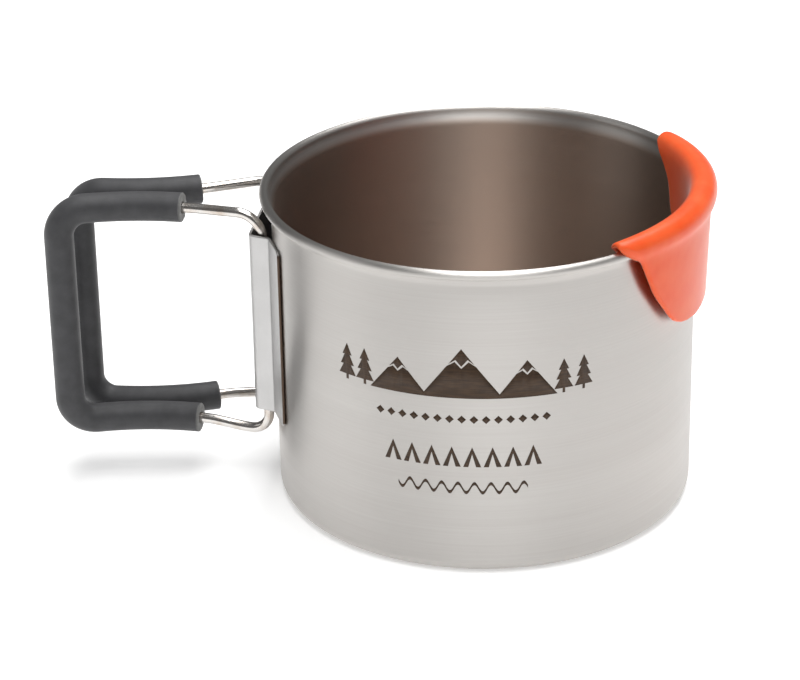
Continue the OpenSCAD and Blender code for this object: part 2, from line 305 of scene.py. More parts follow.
def cut_sleeve_tree():
    """A thick tube along a path with a bore, lightly rounded and slightly ragged at its cut ends."""
    tree, given = new_tree("cut_sleeve", [
        ("Outer radius", "NodeSocketFloat"), ("Bore radius", "NodeSocketFloat"),
        ("Rim", "NodeSocketFloat"), ("Cut face", "NodeSocketFloat"), ("Ragged", "NodeSocketFloat"),
        ("Sides", "NodeSocketInt"), ("Finish", "NodeSocketMaterial")])
    path = add(tree, "GeometryNodeMeshToCurve", inputs={"Mesh": given["Shape"]})
    along = add(tree, "GeometryNodeSplineParameter").outputs["Length"]
    total = add(tree, "GeometryNodeSplineLength").outputs["Length"]
    near = maths(tree, "MINIMUM", along, maths(tree, "SUBTRACT", total, along))
    face = ranged(tree, near, 0.0, given["Cut face"])
    past = maths(tree, "SUBTRACT", near, given["Cut face"])
    rim = ranged(tree, past, 0.0, given["Rim"], 1.0, 0.0)
    rest = maths(tree, "SUBTRACT", 1.0, maths(tree, "MULTIPLY", rim, rim))
    back = maths(tree, "SUBTRACT", 1.0, maths(tree, "SQRT", rest))
    lift = maths(tree, "MULTIPLY", given["Rim"], back)
    mid = maths(tree, "MULTIPLY", maths(tree, "ADD", given["Outer radius"], given["Bore radius"]), 0.5)
    on_face = maths(tree, "LESS_THAN", near, given["Cut face"])
    profile = ring_profile(tree, given["Sides"], 1.0)
    tangent = add(tree, "GeometryNodeInputTangent").outputs[0]
    marked = stored(tree, path.outputs[0], "run", tangent, "FLOAT_VECTOR")
    marked = stored(tree, marked, "along", along)
    marked = stored(tree, marked, "from_cut", near)
    skins = []
    for name, way in (("Outer radius", -1.0), ("Bore radius", 1.0)):
        cut_r = maths(tree, "MULTIPLY_ADD", given["Rim"], way, given[name])
        face_r = add(tree, "ShaderNodeMix", {"data_type": "FLOAT"}, {0: face, 2: mid, 3: cut_r})
        full_r = maths(tree, "MULTIPLY_ADD", lift, way, given[name])
        radius = add(tree, "ShaderNodeMix", {"data_type": "FLOAT"},
                     {0: on_face, 2: full_r, 3: face_r.outputs[0]})
        skin = add(tree, "GeometryNodeCurveToMesh",
                   inputs={"Curve": marked, "Profile Curve": profile, "Scale": radius.outputs[0]})
        skins.append(skin.outputs[0])
    bore = add(tree, "GeometryNodeFlipFaces", inputs={"Mesh": skins[1]})
    tube = joined(tree, skins[0], bore.outputs[0], 0.002 * MM)
    close = ranged(tree, recalled(tree, "from_cut", "FLOAT"), 0.0, 0.9 * MM, 1.0, 0.0)
    nibble = add(tree, "ShaderNodeTexNoise", inputs={"Scale": 900.0, "Detail": 2.0}).outputs[0]
    amount = maths(tree, "MULTIPLY", maths(tree, "SUBTRACT", nibble, 0.5), close)
    shift = add(tree, "ShaderNodeVectorMath", {"operation": "SCALE"},
                {0: recalled(tree, "run", "FLOAT_VECTOR"),
                 "Scale": maths(tree, "MULTIPLY", amount, given["Ragged"])})
    torn = add(tree, "GeometryNodeSetPosition", inputs={"Geometry": tube, "Offset": shift.outputs[0]})
    close_tree(tree, torn.outputs[0], given["Finish"])
    return tree


def etched_row_tree():
    """Repeats a flat mark along a line, gives it a hair of thickness and wraps it on the wall."""
    tree, given = new_tree("etched_row", [
        ("Count", "NodeSocketInt"), ("Spacing", "NodeSocketFloat"), ("Height", "NodeSocketFloat"),
        ("Facing", "NodeSocketFloat"), ("Wall radius", "NodeSocketFloat"),
        ("Thickness", "NodeSocketFloat"), ("Finish", "NodeSocketMaterial")])
    span = maths(tree, "MULTIPLY", maths(tree, "SUBTRACT", given["Count"], 1.0), given["Spacing"])
    first = add(tree, "ShaderNodeCombineXYZ",
                inputs={"X": maths(tree, "MULTIPLY", span, -0.5), "Z": given["Height"]})
    step = add(tree, "ShaderNodeCombineXYZ", inputs={"X": given["Spacing"]})
    line = add(tree, "GeometryNodeMeshLine",
               inputs={"Count": given["Count"], "Start Location": first.outputs[0],
                       "Offset": step.outputs[0]})
    marks = add(tree, "GeometryNodeInstanceOnPoints",
                inputs={"Points": line.outputs[0], "Instance": given["Shape"]})
    flat = add(tree, "GeometryNodeRealizeInstances", inputs={"Geometry": marks.outputs[0]})
    raised = add(tree, "GeometryNodeExtrudeMesh",
                 inputs={"Mesh": flat.outputs[0], "Offset": (0.0, -1.0, 0.0),
                         "Offset Scale": given["Thickness"], "Individual": False})
    under = add(tree, "GeometryNodeFlipFaces", inputs={"Mesh": flat.outputs[0]})
    solid = joined(tree, raised.outputs[0], under.outputs[0], 0.001 * MM)
    place = add(tree, "GeometryNodeInputPosition").outputs[0]
    parts = add(tree, "ShaderNodeSeparateXYZ", inputs={0: place}).outputs
    swing = maths(tree, "DIVIDE", parts["X"], given["Wall radius"])
    angle = maths(tree, "ADD", swing, given["Facing"])
    radius = maths(tree, "SUBTRACT", given["Wall radius"], parts["Y"])
    wrapped = add(tree, "ShaderNodeCombineXYZ",
                  inputs={"X": maths(tree, "MULTIPLY", radius, maths(tree, "COSINE", angle)),
                          "Y": maths(tree, "MULTIPLY", radius, maths(tree, "SINE", angle)),
                          "Z": parts["Z"]})
    bent = add(tree, "GeometryNodeSetPosition",
               inputs={"Geometry": solid, "Position": wrapped.outputs[0]})
    close_tree(tree, bent.outputs[0], given["Finish"])
    return tree


# ================================================================ materials
def srgb(code):
    """A linear colour from an sRGB hex code."""
    channels = [int(code[i:i + 2], 16) / 255 for i in (0, 2, 4)]
    linear = [c / 12.92 if c <= 0.04045 else ((c + 0.055) / 1.055) ** 2.4 for c in channels]
    return tuple(linear) + (1.0,)


def new_material(name, uniform):
    """A node material with its shader's uniform values set; returns it, its tree and its shader."""
    material = bpy.data.materials.new(name)
    material.use_nodes = True
    tree = material.node_tree
    shader = tree.nodes["Principled BSDF"]
    for label, value in uniform.items():
        shader.inputs[label].default_value = value
    return material, tree, shader


def object_place(tree):
    return add(tree, "ShaderNodeTexCoord").outputs["Object"]


def kept(tree, name, output="Fac"):
    return add(tree, "ShaderNodeAttribute", {"attribute_name": name}).outputs[output]


def noise(tree, vector, scale, detail, roughness=0.5):
    return add(tree, "ShaderNodeTexNoise",
               inputs={"Vector": vector, "Scale": scale, "Detail": detail,
                       "Roughness": roughness}).outputs[0]


def streaks(tree, vector, scale, detail, roughness=0.5):
    """Noise drawn out by a different scale on each axis."""
    drawn = add(tree, "ShaderNodeMapping", inputs={"Vector": vector, "Scale": scale}).outputs[0]
    return noise(tree, drawn, 1.0, detail, roughness)


def blended(tree, amount, first, second):
    """A mix of two colours, each a socket or a linear colour."""
    return add(tree, "ShaderNodeMix", {"data_type": "RGBA"},
               {0: amount, 6: first, 7: second}).outputs[2]


def dress(tree, shader, colour, gloss, height, strength, depth):
    """Joins a colour, a roughness and a bump, whose depth is in millimetres, to the shader."""
    relief = add(tree, "ShaderNodeBump",
                 inputs={"Strength": strength, "Distance": depth * MM, "Height": height})
    tree.links.new(colour, shader.inputs["Base Color"])
    tree.links.new(gloss, shader.inputs["Roughness"])
    tree.links.new(relief.outputs[0], shader.inputs["Normal"])


def brushed_stainless():
    """Brushed 304 stainless: fine lines round the cup stretch each reflection up and down, and
    the inside is painted a darker, warmer grey: painted shade inside the cup."""
    material, tree, shader = new_material("brushed_stainless_304", {
        "Metallic": 1.0, "Anisotropic": 0.88, "Anisotropic Rotation": 0.25})
    parts = add(tree, "ShaderNodeSeparateXYZ", inputs={0: object_place(tree)}).outputs
    brush = add(tree, "ShaderNodeCombineXYZ",
                inputs={"X": parts["X"], "Y": parts["Y"], "Z": kept(tree, "across")}).outputs[0]
    # Grit lines are about 0.05 mm apart; they are drawn 0.35 mm apart and 30 mm long to show.
    grit = streaks(tree, brush, (33.0, 33.0, 2800.0), 3.0, 0.6)
    # Broad bands, 5 mm tall, where the belt pressed harder.
    band = streaks(tree, brush, (12.0, 12.0, 210.0), 2.0)
    tone = ranged(tree, maths(tree, "MULTIPLY_ADD", band, 0.5, grit), 0.5, 1.0)
    outside = blended(tree, tone, srgb("CAC6C2"), srgb("D2CFCB"))
    # The inside's darker, warmer grey is painted shade for the inside of the cup, chosen to match its
    # tone; it isn't measured.
    colour = blended(tree, kept(tree, "inside"), outside, srgb("BFB0A5"))
    gloss = ranged(tree, grit, 0.3, 0.7, 0.4, 0.46)
    dress(tree, shader, colour, gloss, grit, 0.12, 0.01)
    around = add(tree, "ShaderNodeTangent", {"direction_type": "UV_MAP", "uv_map": "wrap"})
    tree.links.new(around.outputs[0], shader.inputs["Tangent"])
    return material


def tumbled_sheet():
    """Tumbled 304 sheet with an as-rolled skin: a dull grey with small pits and faint handling
    marks, so it mirrors nothing clearly."""
    material, tree, shader = new_material("tumbled_stainless_sheet", {"Metallic": 1.0})
    place = object_place(tree)
    # Tumbling pits, 0.3 mm apart.
    pits = noise(tree, place, 3300.0, 3.0, 0.7)
    # Rolling marks run up the sheet, 0.25 mm apart and 12 mm long.
    marks = streaks(tree, place, (4000.0, 4000.0, 80.0), 2.0)
    tone = ranged(tree, noise(tree, place, 160.0, 2.0), 0.35, 0.65)
    skin = blended(tree, tone, srgb("C0BFBE"), srgb("C6C5C4"))
    # Painted shade: a thin dark brown line along the flanges' free edges stands in for the shadow in
    # the gap between the sheet and the wall.
    colour = blended(tree, kept(tree, "edge_gap_shade"), skin, srgb("5A4C42"))
    gloss = ranged(tree, pits, 0.3, 0.7, 0.36, 0.5)
    dress(tree, shader, colour, gloss, maths(tree, "MULTIPLY_ADD", marks, 0.4, pits), 0.4, 0.02)
    return material


def drawn_wire():
    """Bright drawn stainless wire: nearly a mirror, with faint die lines along its length and a
    warm tint in patches that is a painted reflection of warm surroundings."""
    material, tree, shader = new_material("drawn_stainless_wire", {"Metallic": 1.0})
    parts = add(tree, "ShaderNodeSeparateXYZ", inputs={0: kept(tree, "round", "Vector")}).outputs
    drawn = add(tree, "ShaderNodeCombineXYZ",
                inputs={"X": parts["X"], "Y": parts["Y"], "Z": kept(tree, "along")}).outputs[0]
    # Die lines, 0.2 mm apart round the wire and 10 mm long.
    die = streaks(tree, drawn, (5000.0, 5000.0, 100.0), 2.0)
    # Painted reflection: warm patches in the wire's colour stand in for the warm things it mirrors.
    warm = ranged(tree, noise(tree, object_place(tree), 350.0, 3.0), 0.45, 0.7)
    colour = blended(tree, warm, srgb("D6D2CE"), srgb("C4B8AD"))
    dress(tree, shader, colour, ranged(tree, die, 0.3, 0.7, 0.14, 0.24), die, 0.3, 0.01)
    return material


def silicone_tubing():
    """Extruded silicone tubing: matt charcoal with a fine grain, soft highlights, and a paler
    line where the tube was cut."""
    material, tree, shader = new_material("extruded_silicone_tubing", {
        "IOR": 1.41, "Sheen Weight": 0.15, "Sheen Roughness": 0.5})
    place = object_place(tree)
    # Fine grain, 0.2 mm.
    grain = noise(tree, place, 5000.0, 2.0, 0.6)
    # Handling dust and rubbing, 3 mm patches.
    soft = ranged(tree, noise(tree, place, 330.0, 4.0), 0.35, 0.7)
    rim = ranged(tree, kept(tree, "from_cut"), 0.05 * MM, 0.35 * MM, 0.75, 0.0)
    body = blended(tree, soft, srgb("3B3B3D"), srgb("454547"))
    colour = blended(tree, rim, body, srgb("7E7E7C"))
    dress(tree, shader, colour, ranged(tree, grain, 0.3, 0.7, 0.5, 0.62), grain, 0.3, 0.02)
    return material


def moulded_silicone():
    """Moulded food-grade silicone: saturated orange, light travels a millimetre or two inside,
    and the satin skin gives broad pale highlights."""
    material, tree, shader = new_material("moulded_orange_silicone", {
        "IOR": 1.41, "Subsurface Weight": 0.25, "Subsurface Radius": (1.0, 0.25, 0.1),
        "Subsurface Scale": 1.5 * MM, "Sheen Weight": 0.2, "Sheen Roughness": 0.3})
    place = object_place(tree)
    # Skin of the blasted mould, 0.15 mm.
    skin = noise(tree, place, 6500.0, 2.0, 0.6)
    # Slow change in the pigment, 6 mm patches.
    cloud = ranged(tree, noise(tree, place, 160.0, 3.0), 0.35, 0.65)
    colour = blended(tree, cloud, srgb("F45A26"), srgb("F76836"))
    dress(tree, shader, colour, ranged(tree, skin, 0.3, 0.7, 0.34, 0.42), skin, 0.25, 0.015)
    return material


def laser_etch():
    """Laser-marked stainless: a dark brown oxide, mostly matt, with the beam's fine passes."""
    material, tree, shader = new_material("laser_marked_oxide", {"Metallic": 0.25})
    # The beam's passes are about 0.05 mm apart; they are drawn 0.2 mm apart to show.
    scan = streaks(tree, object_place(tree), (300.0, 300.0, 5000.0), 2.0)
    tone = ranged(tree, scan, 0.35, 0.65)
    colour = blended(tree, tone, srgb("37271A"), srgb("4E3A28"))
    dress(tree, shader, colour, ranged(tree, scan, 0.0, 1.0, 0.45, 0.65), scan, 0.2, 0.01)
    return material


# ================================================================ cup
def cup_outline():
    """Half section of the cup's sheet, from the middle of its underside round to its inside."""
    step = FOOT_IN - BASE_RECESS
    outside = rounded([(0, BASE_RECESS, 0), (step, BASE_RECESS, 0.5), (FOOT_IN, 0, 0.5),
                       (CUP_R, 0, BASE_R), (CUP_R, BEAD_Z - FLARE_H, 0)], steps=12)
    rise = np.linspace(0, 1, 11)[1:]
    neck = BEAD_Z - 0.3
    outside += [(CUP_R + FLARE * smooth_step(t * 0.9), BEAD_Z - FLARE_H + (neck - BEAD_Z + FLARE_H) * t)
                for t in rise]
    bead = arc((BEAD_CENTRE_R, BEAD_Z), BEAD_R, -132, 180, 40)
    flare_in = BEAD_CENTRE_R - BEAD_R - (CUP_R - WALL_T)
    inside = [(CUP_R - WALL_T + flare_in * smooth_step(1 - t), BEAD_Z - FLARE_H * t) for t in rise]
    floor_z = BASE_RECESS + WALL_T
    inside += rounded([(CUP_R - WALL_T, BEAD_Z - FLARE_H - 1, 0),
                       (CUP_R - WALL_T, WALL_T, BASE_R - WALL_T), (FOOT_IN, WALL_T, 0.5),
                       (step, floor_z, 0.5), (0, floor_z, 0)], steps=12)
    return outside + bead + inside


def make_cup(material):
    """Turns the section round the axis, with a wrap map and the distance across the section."""
    outline = densified(cup_outline(), 3)
    lengths = [0.0]
    for a, b in zip(outline, outline[1:]):
        lengths.append(lengths[-1] + math.dist(a, b))
    mesh = bpy.data.meshes.new("brushed_cup_shell")
    points = []
    for i in range(CUP_SEGMENTS):
        turn = 2 * math.pi * i / CUP_SEGMENTS
        for r, z in outline[1:-1]:
            points.append((r * math.cos(turn) * MM, r * math.sin(turn) * MM, z * MM))
    rows = len(outline) - 2
    faces = []
    for i in range(CUP_SEGMENTS):
        after = (i + 1) % CUP_SEGMENTS
        for k in range(rows - 1):
            faces.append((i * rows + k, after * rows + k, after * rows + k + 1, i * rows + k + 1))
    under = len(points)
    points.append((0, 0, outline[0][1] * MM))
    points.append((0, 0, outline[-1][1] * MM))
    for i in range(CUP_SEGMENTS):
        after = (i + 1) % CUP_SEGMENTS
        faces.append((under, after * rows, i * rows))
        faces.append((under + 1, i * rows + rows - 1, after * rows + rows - 1))
    mesh.from_pydata(points, [], faces)
    across = mesh.attributes.new("across", "FLOAT", "POINT")
    values = [lengths[1 + k % rows] * MM for k in range(under)] + [0.0, lengths[-1] * MM]
    across.data.foreach_set("value", values)
    rim = next(n for n, spot in enumerate(outline) if spot[1] > CUP_H - 0.01)
    inner = mesh.attributes.new("inside", "FLOAT", "POINT")
    drawn = [smooth_step((lengths[1 + k % rows] - lengths[rim] - 2.5) / 2) for k in range(under)]
    inner.data.foreach_set("value", drawn + [0.0, 1.0])
    wrap = mesh.uv_layers.new(name="wrap")
    for face in mesh.polygons:
        middle = math.atan2(face.center.y, face.center.x)
        for corner in face.loop_indices:
            vertex = mesh.loops[corner].vertex_index
            spot = mesh.vertices[vertex].co
            turn = math.atan2(spot.y, spot.x) if spot.xy.length > 0 else middle
            turn = middle + math.remainder(turn - middle, 2 * math.pi)
            wrap.data[corner].uv = (turn / (2 * math.pi), values[vertex] / values[-1])
    mesh.shade_smooth()
    mesh.set_sharp_from_angle(angle=math.radians(60))
    mesh.materials.append(material)
    piece = bpy.data.objects.new("brushed_cup_shell", mesh)
    bpy.context.scene.collection.objects.link(piece)
    return finish_piece(piece, "cup", "cup_body")


def densified(outline, longest):
    """The same outline with long straight stretches cut into pieces no longer than given."""
    points = [outline[0]]
    for a, b in zip(outline, outline[1:]):
        cuts = max(1, math.ceil(math.dist(a, b) / longest))
        for c in range(1, cuts + 1):
            points.append((a[0] + (b[0] - a[0]) * c / cuts, a[1] + (b[1] - a[1]) * c / cuts))
    return points


# ================================================================ bracket
def crossing(dir_1, far_1, dir_2, far_2):
    """Where two lines meet in plan, each given by its normal's direction and its distance."""
    over = math.sin(dir_2 - dir_1)
    return ((far_1 * math.sin(dir_2) - far_2 * math.sin(dir_1)) / over,
            (far_2 * math.cos(dir_1) - far_1 * math.cos(dir_2)) / over)


def bracket_line():
    """Plan of the middle of the bracket's sheet, outward along +X, from one free edge to the
    other: flat flanges, leaning side walls and the crest, with rounded bends."""
    middle = BRACKET_T / 2
    lean = math.pi / 2 - SIDE_LEAN
    side_in = math.cos(lean) * LEG_N + math.sin(lean) * LEG_SPREAD + WIRE_R + LEG_CLEAR
    flange = CUP_R + SEAT_GAP + middle
    edge_r = flange / math.cos(FLANGE_ANGLE - SEAT_ANGLE)
    root = crossing(SEAT_ANGLE, flange, lean, side_in + middle)
    crest = crossing(lean, side_in + middle, 0, CREST_OUT - middle)
    half = [(edge_r * math.cos(FLANGE_ANGLE), edge_r * math.sin(FLANGE_ANGLE), 0),
            (root[0], root[1], 0.8), (crest[0], crest[1], 1.2)]
    return rounded(half + [(x, -y, r) for x, y, r in reversed(half)], steps=7)


def make_bracket(material):
    """The bracket as a closed sheet with rounded corners, eased edges and pressed spot welds."""
    line = densified(bracket_line(), 0.3)
    ease = 0.1
    first = Vector(line[0]).lerp(Vector(line[1]), ease / math.dist(line[0], line[1]))
    last = Vector(line[-1]).lerp(Vector(line[-2]), ease / math.dist(line[-1], line[-2]))
    line = [line[0], tuple(first)] + line[1:-1] + [tuple(last), line[-1]]
    run = [0.0]
    for a, b in zip(line, line[1:]):
        run.append(run[-1] + math.dist(a, b))
    corner_r = 1.4
    height = BRACKET_TOP - BRACKET_Z
    rows = [0, ease] + list(np.linspace(0.35, height - 0.35, 128)) + [height - ease, height]
    welds = [(side * SEAT_ANGLE, BRACKET_Z + row * height) for side in (-1, 1) for row in WELD_ROWS]
    layers = []
    for face_way in (1, -1):
        points = []
        for i, z_run in enumerate(rows):
            for k, (n, t) in enumerate(line):
                before = Vector(line[max(0, k - 1)])
                after = Vector(line[min(len(line) - 1, k + 1)])
                ahead = (after - before).normalized()
                outward = Vector((-ahead.y, ahead.x))
                from_edge = min(run[k], run[-1] - run[k])
                cut = 0.0
                if from_edge < corner_r:
                    cut = corner_r - math.sqrt(corner_r ** 2 - (corner_r - from_edge) ** 2)
                z = BRACKET_Z + cut + (height - 2 * cut) * z_run / height
                border = i in (0, len(rows) - 1) or k in (0, len(line) - 1)
                half = BRACKET_T / 2 - (ease if border else 0)
                press = 0.0
                for angle, weld_z in welds:
                    arm = math.atan2(t, n)
                    away = math.hypot((arm - angle) * CUP_R, z - weld_z)
                    press += 0.12 * math.exp(-(away / 0.55) ** 4) + 0.04 * math.exp(-(away / 1.2) ** 2)
                # Only the outward face is pressed; the inward one lies on the wall.
                sink = press if face_way * outward_sign(outward, n, t) > 0 else 0.0
                offset = face_way * half - math.copysign(sink, face_way)
                points.append((-(n + outward.x * offset), -(t + outward.y * offset), z))
        layers.append(points)
    columns = len(line)
    count = len(rows) * columns
    faces = two_skins(len(rows), columns)
    rim = list(range(columns))
    rim += [i * columns + columns - 1 for i in range(1, len(rows))]
    rim += [(len(rows) - 1) * columns + k for k in range(columns - 2, -1, -1)]
    rim += [i * columns for i in range(len(rows) - 2, 0, -1)]
    for a, b in zip(rim, rim[1:] + rim[:1]):
        faces.append((a, b, count + b, count + a))
    piece = add_piece("bent_bracket", layers[0] + layers[1], faces, material, "cup",
                      "handle_bracket", sharp=50)
    # The flanges' free edges carry the painted shade of the gap to the wall.
    edge_gap_shade = piece.data.attributes.new("edge_gap_shade", "FLOAT", "POINT")
    for vertex, value in zip(piece.data.vertices, edge_gap_shade.data):
        arm = abs(math.atan2(vertex.co.y, -vertex.co.x))
        value.value = 1.0 if arm > FLANGE_ANGLE - 0.2 / CUP_R else 0.0
    return piece


def outward_sign(outward, n, t):
    """1 where the sheet's own outward direction points away from the cup's axis."""
    return 1 if outward.x * n + outward.y * t > 0 else -1


# ================================================================ handles
def arm_plan(u):
    """Where an arm lies in plan at distance u from its hinge leg: straight, then curving."""
    turn = max(0.0, u - ARM_STRAIGHT) / ARM_R
    return (min(u, ARM_STRAIGHT) + ARM_R * math.sin(turn), -ARM_R * (1 - math.cos(turn)))


def at_hinge(u, z, rest, side):
    """A point of a handle's plane, placed on its hinge leg; side is -1 for the -Y handle."""
    x, y = arm_plan(u)
    x = -x
    turned = (x * math.cos(rest) + y * math.sin(rest), -x * math.sin(rest) + y * math.cos(rest))
    return (turned[0] - LEG_N, -side * (turned[1] - LEG_SPREAD), z)


def arm_stretch(start, end, z, spacing=1.2):
    """Points along an arm at height z from one distance to another, without the last."""
    count = max(2, round(abs(end - start) / spacing))
    return [(start + (end - start) * i / count, z) for i in range(count)]


def grip_turns():
    """The two bends at the grip end, from the upper arm to the lower arm."""
    top = arc((ARM_LEN - GRIP_BEND, ARM_TOP_Z - GRIP_BEND), GRIP_BEND, 90, 0, 18)
    low = arc((ARM_LEN - GRIP_BEND, ARM_LOW_Z + GRIP_BEND), GRIP_BEND, 0, -90, 18)
    return top, low


def wire_path():
    """The closed loop in the handle's plane, starting in the middle of the grip."""
    grip_top, grip_low = grip_turns()
    middle = (ARM_LEN, (ARM_TOP_Z + ARM_LOW_Z) / 2)
    leg_low = arc((LEG_BEND_LOW, TOE_Z + LEG_BEND_LOW), LEG_BEND_LOW, 270, 180, 16)
    leg_top = arc((LEG_BEND_TOP, ARM_TOP_Z - LEG_BEND_TOP), LEG_BEND_TOP, 180, 90, 18)
    bend_u = ARM_LEN - GRIP_BEND
    low_arm = arm_stretch(bend_u, SLEEVE_BOTTOM - SLEEVE_LEAD, ARM_LOW_Z)[1:]
    toe_start = SLEEVE_BOTTOM - SLEEVE_LEAD
    toe = [(toe_start + (LEG_BEND_LOW - toe_start) * t, ARM_LOW_Z - ARM_TOE * smooth_step(t))
           for t in np.linspace(0, 1, 9)[:-1]]
    top_arm = arm_stretch(LEG_BEND_TOP, bend_u, ARM_TOP_Z)[1:]
    return [middle] + grip_low + low_arm + toe + leg_low + leg_top + top_arm + grip_top


def sleeve_path():
    """The sleeve's stretch of the loop, with extra points where it is cut."""
    grip_top, grip_low = grip_turns()
    bend_u = ARM_LEN - GRIP_BEND
    nibs = (0.0, 0.004, 0.03, 0.08, 0.16, 0.25, 0.45, 0.7)
    top = [(SLEEVE_TOP + d, ARM_TOP_Z) for d in nibs]
    low = [(SLEEVE_BOTTOM + d, ARM_LOW_Z) for d in reversed(nibs)]
    top += arm_stretch(SLEEVE_TOP + 1, bend_u, ARM_TOP_Z)
    low = list(reversed(arm_stretch(SLEEVE_BOTTOM + 1, bend_u, ARM_LOW_Z))) + low
    return top + grip_top + grip_low + low


def make_handle(letter, rest, side, wire_tree, sleeve_tree, wire_finish, sleeve_finish):
    """One handle: its closed wire loop and the sleeve on its grip, both on the same body."""
    loop = [at_hinge(u, z, rest, side) for u, z in wire_path()]
    edges = [(i, (i + 1) % len(loop)) for i in range(len(loop))]
    wire = grown("bent_wire_" + letter, loop, edges, [], wire_tree,
                 {"Radius": WIRE_R * MM, "Sides": 28, "Finish": wire_finish})
    finish_piece(wire, "handle_" + letter, "handle_wire_" + letter)
    path = [at_hinge(u, z, rest, side) for u, z in sleeve_path()]
    edges = [(i, i + 1) for i in range(len(path) - 1)]
    sleeve = grown("cut_sleeve_" + letter, path, edges, [], sleeve_tree,
                   {"Outer radius": SLEEVE_R * MM, "Bore radius": SLEEVE_BORE_R * MM,
                    "Rim": 0.25 * MM, "Cut face": 0.004 * MM, "Ragged": 0.3 * MM,
                    "Sides": 56, "Finish": sleeve_finish})
    finish_piece(sleeve, "handle_" + letter, "grip_sleeve_" + letter)


# ================================================================ lip guard
def fullness(angle):
    """How much of the middle's fullness the lip has at an angle from its middle, in degrees."""
    return math.sqrt(max(0.0, math.cos(math.radians(90 * min(abs(angle), GUARD_HALF) / GUARD_HALF))))


def softened(points, passes):
    """An outline with its corners eased: each inner point moves toward its neighbours' mean."""
    line = np.array(points, float)
    for _ in range(passes):
        line[1:-1] = 0.5 * line[1:-1] + 0.25 * (line[:-2] + line[2:])
    return line


def evenly(points, count):
    """The same outline as count points, evenly spaced."""
    line = np.array(points, float)
    run = np.concatenate([[0], np.cumsum(np.linalg.norm(np.diff(line, axis=0), axis=1))])
    steps = np.linspace(0, run[-1], count)
    return np.stack([np.interp(steps, run, line[:, 0]), np.interp(steps, run, line[:, 1])], 1)


def skirt_half(z):
    """Half of the angle that the skirt covers at height z, as a shield with a rounded foot."""
    heights = [SKIRT_LOW, SKIRT_LOW + 0.35, SKIRT_LOW + 1.2, SKIRT_LOW + 2.6, SKIRT_LOW + 4.4,
               SKIRT_LOW + 8.6, SKIRT_LOW + 11, SKIRT_LOW + 18.6, SKIRT_LOW + 19.6]
    halves = [4, 12.5, 18, 21.8, 24.2, 28.8, 31.2, 36.2, 37]
    return float(np.interp(z, heights, halves))


def leg_half(z):
    """Half of the angle that the inner leg covers at height z."""
    low = CUP_H - 15
    heights = [low, low + 0.3, low + 1.2, low + 2.6, low + 4.8, low + 7.0, low + 8.9,
               low + 10.6, low + 12.7, low + 14.9]
    halves = [22, 26, 30, 32.2, 33, 33.6, 34.4, 36, 38.8, 41]
    return float(np.interp(z, heights, halves))


SKIRT_ROWS = 34
LIP_ROWS = 44
LEG_ROWS = 28


def guard_lines(angle):
    """Outside and slot side of the guard's section at an angle from its middle, as two lines of
    [radius, height] points with equal counts, from the skirt's foot to the inner leg's foot."""
    full = fullness(angle)
    r = 2.15 + 0.75 * full
    out_r = BEAD_CENTRE_R + BEAD_R + 0.9 + 1.0 * full
    lip_z = LIP_TOP - 2.9
    mid = out_r - r
    crease_r = 45.45
    crease = -math.degrees(math.acos(min(1.0, (crease_r - mid) / r)))
    foot_r = crease_r - 0.6
    roll = arc((mid, lip_z), r, crease, 150, 30)
    low_leg = CUP_H - 15
    outside = [(foot_r, SKIRT_LOW)] + [(foot_r + 0.6 * t, SKIRT_LOW + (roll[0][1] - SKIRT_LOW) * t)
                                       for t in np.linspace(0, 1, 24)[1:-1]]
    inner = [(LEG_IN_R, lip_z - 1 + (low_leg - lip_z + 1) * t) for t in np.linspace(0, 1, 20)]
    skirt_in = [(foot_r - 1.1 + 0.6 * t, SKIRT_LOW + (SLOT_LOW - 0.7 - SKIRT_LOW) * t)
                for t in np.linspace(0, 1, 24)]
    slot_mid = (SLOT_R + LEG_OUT_R) / 2
    slot_half = (SLOT_R - LEG_OUT_R) / 2
    # The roof of the slot lifts off the bead at the two ends, where nothing pulls it down.
    roof = SLOT_TOP + 0.6 * smooth_step((abs(angle) - 36) / 6)
    slot = [(slot_mid + slot_half * math.cos(a), BEAD_Z + (roof - BEAD_Z) * math.sin(a))
            for a in np.linspace(0, math.pi, 30)]
    leg_out = [(LEG_OUT_R, BEAD_Z + (low_leg - BEAD_Z) * t) for t in np.linspace(0, 1, 20)[1:]]
    skirt_a = evenly(outside + roll[:1], SKIRT_ROWS)
    lip_a = evenly(roll + inner[:1], LIP_ROWS)
    leg_a = evenly(inner, LEG_ROWS)
    skirt_b = evenly(skirt_in, SKIRT_ROWS)
    lip_b = evenly([skirt_in[-1], (SLOT_R, SLOT_LOW)] + slot, LIP_ROWS)
    leg_b = evenly([slot[-1]] + leg_out, LEG_ROWS)
    line_a = softened(np.concatenate([skirt_a, lip_a[1:], leg_a[1:]]), 14)
    line_b = softened(np.concatenate([skirt_b, lip_b[1:], leg_b[1:]]), 4)
    return line_a, line_b


LINES = {}


def lines_at(angle):
    """The section's two lines at an angle, worked out once for each angle."""
    if angle not in LINES:
        LINES[angle] = guard_lines(angle)
    return LINES[angle]


def rounding(away, radius):
    """How open the sheet is at a distance from its edge, for an edge rounded at that radius."""
    t = min(1.0, max(0.0, away / radius))
    return math.sqrt(max(0.0, 1 - (1 - t) ** 2))


